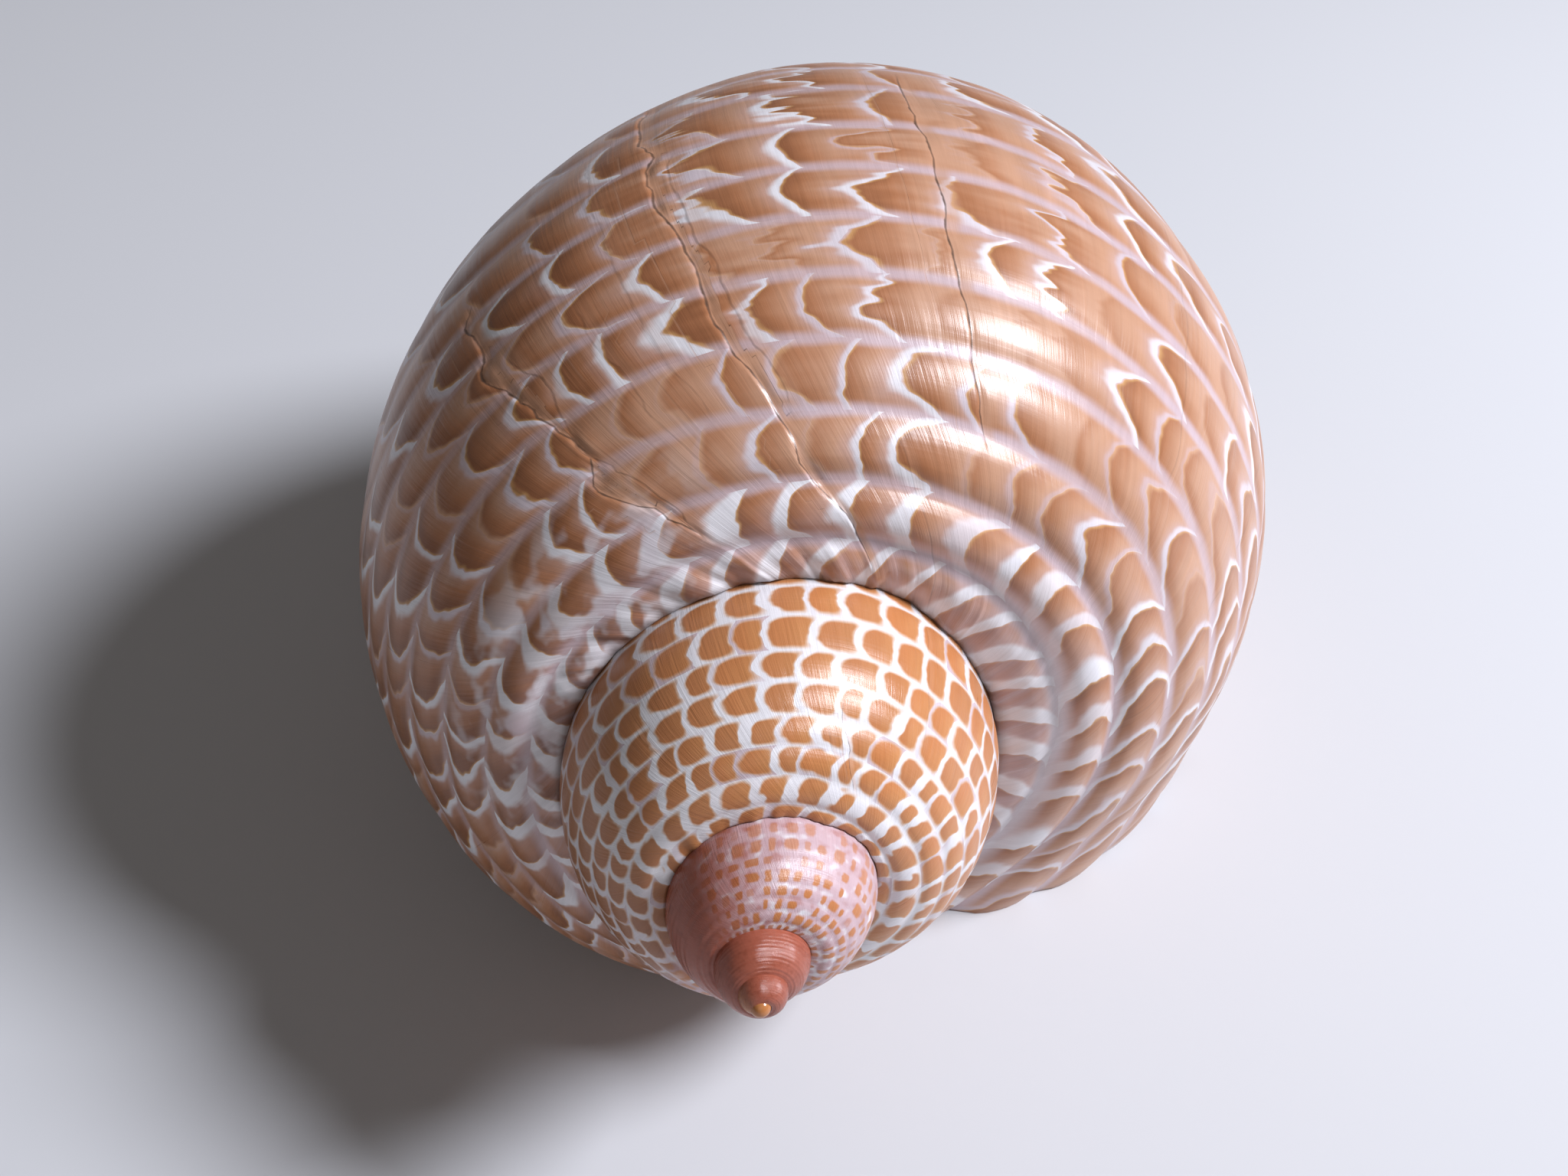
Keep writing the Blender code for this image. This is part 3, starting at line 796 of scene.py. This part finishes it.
def body_cells(net, at, late):
    """Last whorl: the number of the cell with the way along it, and the cell's length."""
    length = net.curve(at.row, CELL_LENGTHS)
    phase = net.mul(net.chance(at.row, 3.0, 0.0), 40.0)
    along_row = net.div(at.azimuth, 14.0)
    drift = net.mul(net.noise(along_row, net.mul(at.row, 7.3)), 11.0)
    bow = net.noise(along_row, net.mul(at.row, 3.1), 4.0)
    bow = net.add(net.add(4.2, net.mul(late, 2.5)), net.mul(bow, 8.0))
    bow = net.mul(net.mul(at.off_middle, at.off_middle), bow)
    tilt = net.noise(along_row, net.mul(at.row, 5.7), 8.0)
    tilt = net.add(net.add(2.5, net.mul(late, 2.5)), net.mul(tilt, 13.0))
    flames = net.mul(net.step(*FLAMES_START, at.growth), net.step(*FLAMES_END, at.growth))
    flames = net.mul(flames, net.step(*FLAMES_LATITUDE, at.latitude))
    flames = net.mul(flames, net.step(-0.08, 0.12, net.noise(net.div(at.azimuth, 16.0), at.row, 2.0, 0.0)))
    zigzag = net.noise(net.div(at.azimuth, 9.0), net.div(at.latitude, 2.3), 6.0)
    zigzag = net.mul(zigzag, net.add(1.5, net.mul(flames, 13.0)))
    crowded = net.math("MAXIMUM", net.add(at.azimuth, -NEAR_LIP[0]), 0.0)
    crowded = net.mul(crowded, net.mul(net.step(3.5, 0.5, at.row), 0.1))
    swept = net.sub(net.sub(net.add(at.azimuth, crowded), bow), net.add(phase, drift))
    swept = net.add(swept, net.add(net.mul(at.fine, 2.2), zigzag))
    swept = net.add(swept, net.mul(tilt, net.sub(at.across, 0.5)))
    return net.div(swept, length), length


def shoulder_tints(net, at, late, colour, cream):
    """Last whorl, by the suture: a grey tint, the lilac valley and the white patches."""
    low = net.add(net.add(0.22, net.mul(late, 0.3)), net.mul(at.broad_streaks, 1.2))
    low = net.mul(net.step(net.scale(late, 0.0, 1.0, 19.0, 14.0), 4.0, at.latitude), low)
    colour = net.mix(net.mul(low, net.sub(1.0, cream)), colour, GREY_LILAC)
    valley = net.add(VALLEY_LATITUDE, net.mul(at.wobble, 2.0))
    valley = net.math("ABSOLUTE", net.sub(at.latitude, valley))
    valley = net.mul(net.step(2.6, 0.3, valley), net.add(0.55, net.mul(late, 0.35)))
    valley = net.mul(valley, net.sub(1.0, net.mul(cream, 0.6)))
    # Painted light: the valley turns whiter towards the lip, to brighten the shoulder that lies in less
    # light there
    colour = net.mix(valley, colour, net.mix(net.mul(late, 0.55), LILAC, CREAM))
    patch = net.noise(net.div(at.azimuth, 8.0), net.div(at.latitude, 7.0), 31.0, 2.0)
    stretch = net.mul(net.step(*PATCHES_END, at.azimuth), net.step(*PATCHES_START, at.azimuth))
    patch = net.mul(net.step(-0.02, 0.12, patch), stretch)
    patch = net.mul(patch, net.step(*PATCHES_LATITUDE, at.latitude))
    return net.mix(net.mul(patch, 0.85), colour, net.mix(net.step(-0.1, 0.3, at.wobble), CREAM, LILAC))


def body_pattern(net, at):
    """Last whorl: cells that pale from a dark curved edge to the next one's cream, between lilac lines."""
    late = net.step(*NEAR_LIP, at.azimuth)
    # Painted shade on the side away from the key light, used below
    shaded_side = net.step(*SHADED_SIDE_CELLS, at.azimuth)
    cell, length = body_cells(net, at, late)
    edge = net.sub(1.0, at.off_middle)
    number = net.math("FLOOR", cell)
    along = net.math("FRACT", cell)
    luck = net.chance(number, at.row, 1.0)
    next_luck = net.chance(net.add(number, 1.0), at.row, 1.0)
    after = net.mul(along, length)
    until = net.mul(net.sub(1.0, along), length)
    bold = net.step(2.4, 0.4, at.row)
    width = net.mul(bold, net.add(3.5, net.mul(late, 1.0)))
    width = net.add(net.scale(next_luck, 0.0, 1.0, 0.9, 2.5), width)
    width = net.mul(width, net.scale(at.across, 0.0, 1.0, 1.2, 0.75))
    strength = net.math("MAXIMUM", net.step(0.05, 0.5, luck), bold)
    next_strength = net.math("MAXIMUM", net.step(0.05, 0.5, next_luck), bold)
    pale_tail = net.mul(net.step(net.mul(width, 2.1), 0.0, until), next_strength)
    cream = net.step(width, net.mul(width, net.add(0.25, net.mul(bold, 0.35))), until)
    cream = net.mul(cream, next_strength)
    fringe = net.mul(net.step(0.9, 0.1, after), strength)
    soft_edge = net.mul(net.step(0.32, 0.0, after), net.mul(strength, 0.85))

    shade = net.add(net.mul(net.sub(1.0, along), 0.85), net.mul(net.sub(0.5, at.across), 0.15))
    shade = net.add(shade, net.add(net.mul(net.sub(luck, 0.5), 0.3), net.mul(at.broad_streaks, 0.5)))
    # Painted shade: the cells are darker on the side away from the key light
    shade = net.add(shade, net.mul(shaded_side, 0.28))
    colour = net.mix(net.step(0.15, 0.8, shade), TAN, BROWN)
    colour = net.mix(net.mul(net.step(0.62, 1.1, shade), 0.8), colour, DARK_BROWN)
    colour = net.mix(net.mul(net.step(0.45, 0.1, edge), 0.35), colour, TAN)
    colour = net.mix(net.step(0.0, net.sub(1.9, net.mul(strength, 1.6)), after), TAN, colour)
    colour = net.mix(net.mul(fringe, 0.75), colour, GOLD)
    # Painted shade also dims the pale tails and the lilac lines there
    colour = net.mix(net.mul(pale_tail, net.sub(0.45, net.mul(shaded_side, 0.25))), colour, LILAC)
    rib_line = net.mul(net.step(0.32, 0.04, edge), net.add(0.8, net.mul(at.wobble, 0.9)))
    rib_line = net.mul(rib_line, net.sub(1.0, net.mul(shaded_side, 0.45)))
    colour = net.mix(rib_line, colour, LILAC)
    light = net.mix(net.step(0.2, 0.9, net.add(next_luck, net.mul(bold, 0.8))), LILAC, CREAM)
    colour = net.mix(net.math("MAXIMUM", cream, soft_edge), colour, light)
    return shoulder_tints(net, at, late, colour, cream), rib_line


def rounded_square(net, along, middle, half_width, off_middle, half_height, soft):
    """1 inside a rounded square cell, 0 outside it, and how far out a place is."""
    sideways = net.div(net.math("ABSOLUTE", net.sub(along, middle)), half_width)
    sideways = net.math("POWER", sideways, 4.0)
    upwards = net.math("POWER", net.div(off_middle, half_height), 4.0)
    reach = net.math("POWER", net.add(sideways, upwards), 0.25)
    return net.step(1.0 + soft, 1.0 - soft, reach), reach


def second_pattern(net, at):
    """Whorl before the last: small square cells on a white ground."""
    length = net.curve(at.row, SECOND_CELL_LENGTHS)
    drift = net.mul(net.noise(net.div(at.azimuth, 16.0), net.mul(at.row, 5.1), 9.0), 9.0)
    tilt = net.mul(net.noise(net.div(at.azimuth, 18.0), net.mul(at.row, 6.7), 2.0), 9.0)
    swept = net.sub(net.sub(at.azimuth, net.mul(net.mul(at.off_middle, at.off_middle), 2.4)), drift)
    swept = net.add(swept, net.add(net.mul(at.fine, 2.0), net.mul(tilt, net.sub(at.across, 0.5))))
    cell = net.div(net.add(swept, net.mul(net.chance(at.row, 5.0, 1.0), 20.0)), length)
    along = net.math("FRACT", cell)
    luck = net.chance(net.math("FLOOR", cell), at.row, 2.0)
    blotch = net.noise(net.div(at.azimuth, 13.0), net.div(at.latitude, 11.0), 15.0)
    blotch = net.mul(net.step(0.0, 0.2, blotch), net.step(66.0, 40.0, at.latitude))
    # Painted shade: on that side the cells darken, the gaps between them narrow and the lines turn grey
    early = net.step(*SECOND_SHADED_DARKER, at.azimuth)
    gap = net.add(net.scale(luck, 0.0, 1.0, 0.08, 0.24), net.mul(blotch, 0.24))
    gap = net.add(gap, net.mul(net.step(2.2, 0.5, at.row), 0.12))
    gap = net.mul(gap, net.sub(1.0, net.mul(early, 0.35)))
    middle = net.add(0.5, net.mul(gap, 0.5))
    half_width = net.sub(middle, gap)
    half_height = net.sub(net.sub(0.9, net.mul(blotch, 0.2)), net.mul(at.wobble, 0.25))
    square, reach = rounded_square(net, along, middle, half_width, at.off_middle, half_height, 0.17)
    golden = net.step(0.25, 1.1, net.add(along, net.mul(at.broad_streaks, 0.6)))
    colour = net.mix(net.mul(golden, 0.28), ORANGE, GOLD)
    colour = net.mix(net.mul(net.step(0.25, 0.9, luck), 0.35), colour, BROWN)
    # Painted shade: browner, then darker, on the side away from the key light
    colour = net.mix(net.mul(net.step(*SECOND_SHADED_BROWNER, at.azimuth), 0.6), colour, BROWN)
    colour = net.mix(net.mul(early, 0.55), colour, DARK_BROWN)
    colour = net.mix(net.mul(net.step(0.8, 1.05, reach), 0.7), colour, GOLD)
    lines = net.mix(net.math("MAXIMUM", net.step(0.0, 0.5, luck), blotch), LILAC, CREAM)
    lines = net.mix(net.mul(early, 0.5), lines, GREY_LILAC)
    return net.mix(square, lines, colour)


def third_pattern(net, at, patches):
    """Third whorl: dots on a rose ground. Returns the colour and the dots."""
    drift = net.mul(net.noise(net.div(at.azimuth, 12.0), net.mul(at.row, 4.3), 1.0), 10.0)
    shifted = net.add(net.add(at.azimuth, drift), net.mul(at.fine, 3.0))
    cell = net.div(net.add(shifted, net.mul(net.chance(at.row, 8.0, 1.0), 12.0)), DOT_LENGTH)
    along = net.math("FRACT", cell)
    number = net.math("FLOOR", cell)
    luck = net.chance(number, at.row, 3.0)
    other = net.chance(number, at.row, 7.0)
    middle = net.scale(other, 0.0, 1.0, 0.4, 0.6)
    dot, _ = rounded_square(net, along, middle, net.scale(luck, 0.0, 1.0, 0.17, 0.34), at.off_middle,
                            net.scale(other, 0.0, 1.0, 0.5, 0.82), 0.28)
    dot = net.mul(dot, net.step(0.04, 0.3, luck))
    near_suture = net.step(24.0, 8.0, at.latitude)
    ground = net.mix(net.step(0.05, 0.3, net.add(patches, net.mul(near_suture, 0.16))), ROSE, CREAM)
    ground = net.mix(net.mul(net.step(0.0, -0.25, patches), 0.45), ground, REDDISH)
    # The ground reddens and the dots darken: partly the whorl's own colour, partly painted shade on the
    # side away from the key light
    redder_and_shaded = net.step(*THIRD_REDDER_AND_SHADED, net.add(at.azimuth, net.mul(patches, 40.0)))
    ground = net.mix(net.mul(redder_and_shaded, 0.9), ground, REDDISH)
    dot_colour = net.mix(net.mul(redder_and_shaded, 0.8), net.mix(other, DOT, ORANGE), DARK_ORANGE)
    return net.mix(net.mul(dot, net.scale(at.latitude, 50.0, 85.0, 1.0, 0.6)), ground, dot_colour), dot


def spire_pattern(net, at):
    """Third whorl with its dots, and the plain whorls before it."""
    patches = net.noise(net.div(at.azimuth, 9.0), net.div(at.latitude, 9.0), 12.0)
    dotted, dot = third_pattern(net, at, patches)
    early = net.mix(net.step(*EARLY_REDDISH, at.azimuth), AMBER, REDDISH)
    dark = net.mul(net.step(-0.1, 0.5, net.add(patches, net.mul(at.wobble, 0.6))), 0.8)
    early = net.mix(dark, early, DARK_RED)
    pale_seam = net.mul(net.step(7.0, 3.5, at.latitude), net.step(-1100.0, -1250.0, at.azimuth))
    pale_seam = net.mul(pale_seam, net.mul(net.step(-1560.0, -1480.0, at.azimuth), 0.5))
    early = net.mix(pale_seam, early, ROSE)
    bound = net.add(at.azimuth, net.add(net.mul(at.fine, 14.0), net.mul(at.wobble, 30.0)))
    bound = net.sub(bound, net.mul(dot, 16.0))
    return net.mix(net.step(*DOTTED, bound), early, dotted)


def add_cracks(net, at, outer):
    """Old breaks of the lip: plainer shell just past each, and a dark crack along it."""
    past = net.fact("past_scar")
    strength = net.fact("scar")
    healed = net.mul(net.step(-0.1, 0.3, past), net.step(2.4, 1.0, past))
    outer = net.mix(net.mul(net.mul(healed, strength), 0.6), outer, TAN)
    dirt = net.noise(net.div(at.latitude, 2.2), net.div(at.growth, 20.0), 21.0, 2.0)
    crack = net.math("ABSOLUTE", net.add(past, net.mul(dirt, 0.3)))
    crack = net.mul(net.step(net.add(CRACK_WIDTH, net.mul(dirt, 0.5)), 0.04, crack), strength)
    return net.mix(net.mul(crack, net.add(0.8, dirt)), outer, STAIN_AND_SHADE)


def lining_colour(net, at, rib_line):
    """Inside: a pale lining, faint spiral lines, and a whiter columella."""
    lining = net.mix(net.step(-0.25, 0.25, at.broad_streaks), LINING, PALE_LINING)
    lining = net.mix(net.mul(rib_line, 0.25), lining, CREAM)
    return net.mix(net.step(1.1, 1.9, at.inside), lining, PILLAR_WHITE)


def shell_material():
    net = Net("shell")
    at = Place(net)
    body, rib_line = body_pattern(net, at)
    spire = net.mix(net.step(*SECOND_GROWTH, at.growth), spire_pattern(net, at), second_pattern(net, at))
    outer = net.mix(net.step(*BODY_GROWTH, at.growth), spire, body)
    # Partly the suture's own fine dark line, partly painted shade in its channel, strongest by the last
    # whorl
    seam_shade = net.mul(net.step(4.6, 2.4, at.latitude), net.scale(at.growth, -900.0, -250.0, 0.15, 0.6))
    outer = add_cracks(net, at, net.mix(seam_shade, outer, STAIN_AND_SHADE))

    # Streaks along the growth lines
    tint = net.scale(net.add(at.streaks, net.mul(at.broad_streaks, 0.6)), -0.5, 0.5, 0.88, 1.12)
    outer = net.mix(1.0, outer, net.vector(tint, tint, tint), "MULTIPLY")
    colour = net.mix(net.step(0.15, 0.75, at.inside), outer, lining_colour(net, at, rib_line))
    net.put(net.shader.inputs["Base Color"], colour)

    young = net.step(*YOUNG, at.azimuth)
    roughness = net.scale(net.add(at.streaks, at.broad_streaks), -0.7, 0.7, *ROUGHNESS)
    roughness = net.mul(roughness, net.sub(1.0, net.mul(young, YOUNG_SMOOTHER)))
    net.put(net.shader.inputs["Roughness"], roughness)
    net.shader.inputs["Metallic"].default_value = 0.0
    net.shader.inputs["Specular IOR Level"].default_value = GLOSS
    threads = net.noise(net.div(at.azimuth, 60.0), net.div(at.latitude, 0.9), 5.0, 2.0)
    bump = net.tree.nodes.new("ShaderNodeBump")
    bump.inputs["Strength"].default_value = BUMP_STRENGTH
    bump.inputs["Distance"].default_value = BUMP_HEIGHT
    net.put(bump.inputs["Height"], net.add(at.streaks, net.mul(threads, 0.25)))
    net.put(net.shader.inputs["Normal"], bump.outputs["Normal"])
    return net.material


# The camera of the photograph: a pinhole, in pixels of a 2048 pixel wide picture
PICTURE_WIDTH = 2048.0
PICTURE_HEIGHT = 1536.0
FOCAL_PIXELS = 2157.7
POLE_X = 978.2               # where the pole of the spiral is in the picture
POLE_Y = 1325.9
POLE_DISTANCE = 0.100
AXIS_TILT = 35.3             # angle between the line of sight and the coil's axis
AXIS_HEADING = 91.525
SENSOR = 36.0
CLIP_START = 0.005


def add_camera(coil_to_world):
    """The camera, placed by where the coil is in the picture."""
    tilt = math.radians(AXIS_TILT)
    heading = math.radians(AXIS_HEADING)
    axis = Vector((math.sin(tilt) * math.cos(heading), -math.sin(tilt) * math.sin(heading), math.cos(tilt)))
    first = Vector((1.0, 0.0, 0.0))
    first = (first - axis * first.dot(axis)).normalized()
    second = axis.cross(first)
    pole_x = (POLE_X - PICTURE_WIDTH / 2.0) / FOCAL_PIXELS
    pole_y = (POLE_Y - PICTURE_HEIGHT / 2.0) / FOCAL_PIXELS
    pole = Vector((pole_x, pole_y, 1.0)) * POLE_DISTANCE
    coil_to_picture = Matrix((
        (first.x, second.x, axis.x, pole.x),
        (first.y, second.y, axis.y, pole.y),
        (first.z, second.z, axis.z, pole.z),
        (0.0, 0.0, 0.0, 1.0)))
    picture_to_camera = Matrix.Diagonal((1.0, -1.0, -1.0, 1.0))
    camera = bpy.data.cameras.new("camera")
    camera.sensor_width = SENSOR
    camera.lens = FOCAL_PIXELS * SENSOR / PICTURE_WIDTH
    camera.clip_start = CLIP_START
    item = bpy.data.objects.new("camera", camera)
    item.matrix_world = coil_to_world @ (picture_to_camera @ coil_to_picture).inverted()
    bpy.context.scene.collection.objects.link(item)
    bpy.context.scene.camera = item


# The stage, in metres and watts
FLOOR_REACH = 3.0
FLOOR_GREY = (0.62, 0.62, 0.64, 1.0)
FLOOR_ROUGHNESS = 0.8
LIT_POINT = (0.0, 0.0, 0.03)
KEY_PLACE = (0.46, -0.02, 0.54)
KEY_SIZE = 0.24
KEY_POWER = 6.8
KEY_COLOUR = (0.94, 0.97, 1.06)
FILL_PLACE = (-0.1, -0.9, 0.7)
FILL_SIZE = 0.8
FILL_POWER = 0.7
FILL_COLOUR = (1.0, 0.97, 0.95)
WORLD_COLOUR = (1.0, 0.97, 0.94, 1.0)
WORLD_STRENGTH = 0.11


def add_floor():
    data = bpy.data.meshes.new("floor")
    corners = ((-1, -1), (1, -1), (1, 1), (-1, 1))
    data.from_pydata([(x * FLOOR_REACH, y * FLOOR_REACH, 0.0) for x, y in corners], [], [(0, 1, 2, 3)])
    floor = bpy.data.objects.new("floor", data)
    net = Net("floor")
    net.shader.inputs["Base Color"].default_value = FLOOR_GREY
    net.shader.inputs["Roughness"].default_value = FLOOR_ROUGHNESS
    data.materials.append(net.material)
    bpy.context.scene.collection.objects.link(floor)


def add_light(name, place_at, size, power, colour):
    light = bpy.data.lights.new(name, "AREA")
    light.shape = "DISK"
    light.size = size
    light.energy = power
    light.color = colour
    item = bpy.data.objects.new(name, light)
    item.location = place_at
    item.rotation_euler = (Vector(LIT_POINT) - Vector(place_at)).to_track_quat("-Z", "Y").to_euler()
    bpy.context.scene.collection.objects.link(item)


def add_world():
    world = bpy.data.worlds.new("studio")
    world.use_nodes = True
    background = world.node_tree.nodes["Background"]
    background.inputs["Color"].default_value = WORLD_COLOUR
    background.inputs["Strength"].default_value = WORLD_STRENGTH
    bpy.context.scene.world = world


piece, coil_to_world = build_shell()
piece.data.materials.append(shell_material())
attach(piece, "root")
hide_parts("shell")
add_camera(coil_to_world)
add_floor()
add_light("key", KEY_PLACE, KEY_SIZE, KEY_POWER, KEY_COLOUR)
add_light("fill", FILL_PLACE, FILL_SIZE, FILL_POWER, FILL_COLOUR)
add_world()
bpy.context.scene.view_settings.view_transform = "Standard"
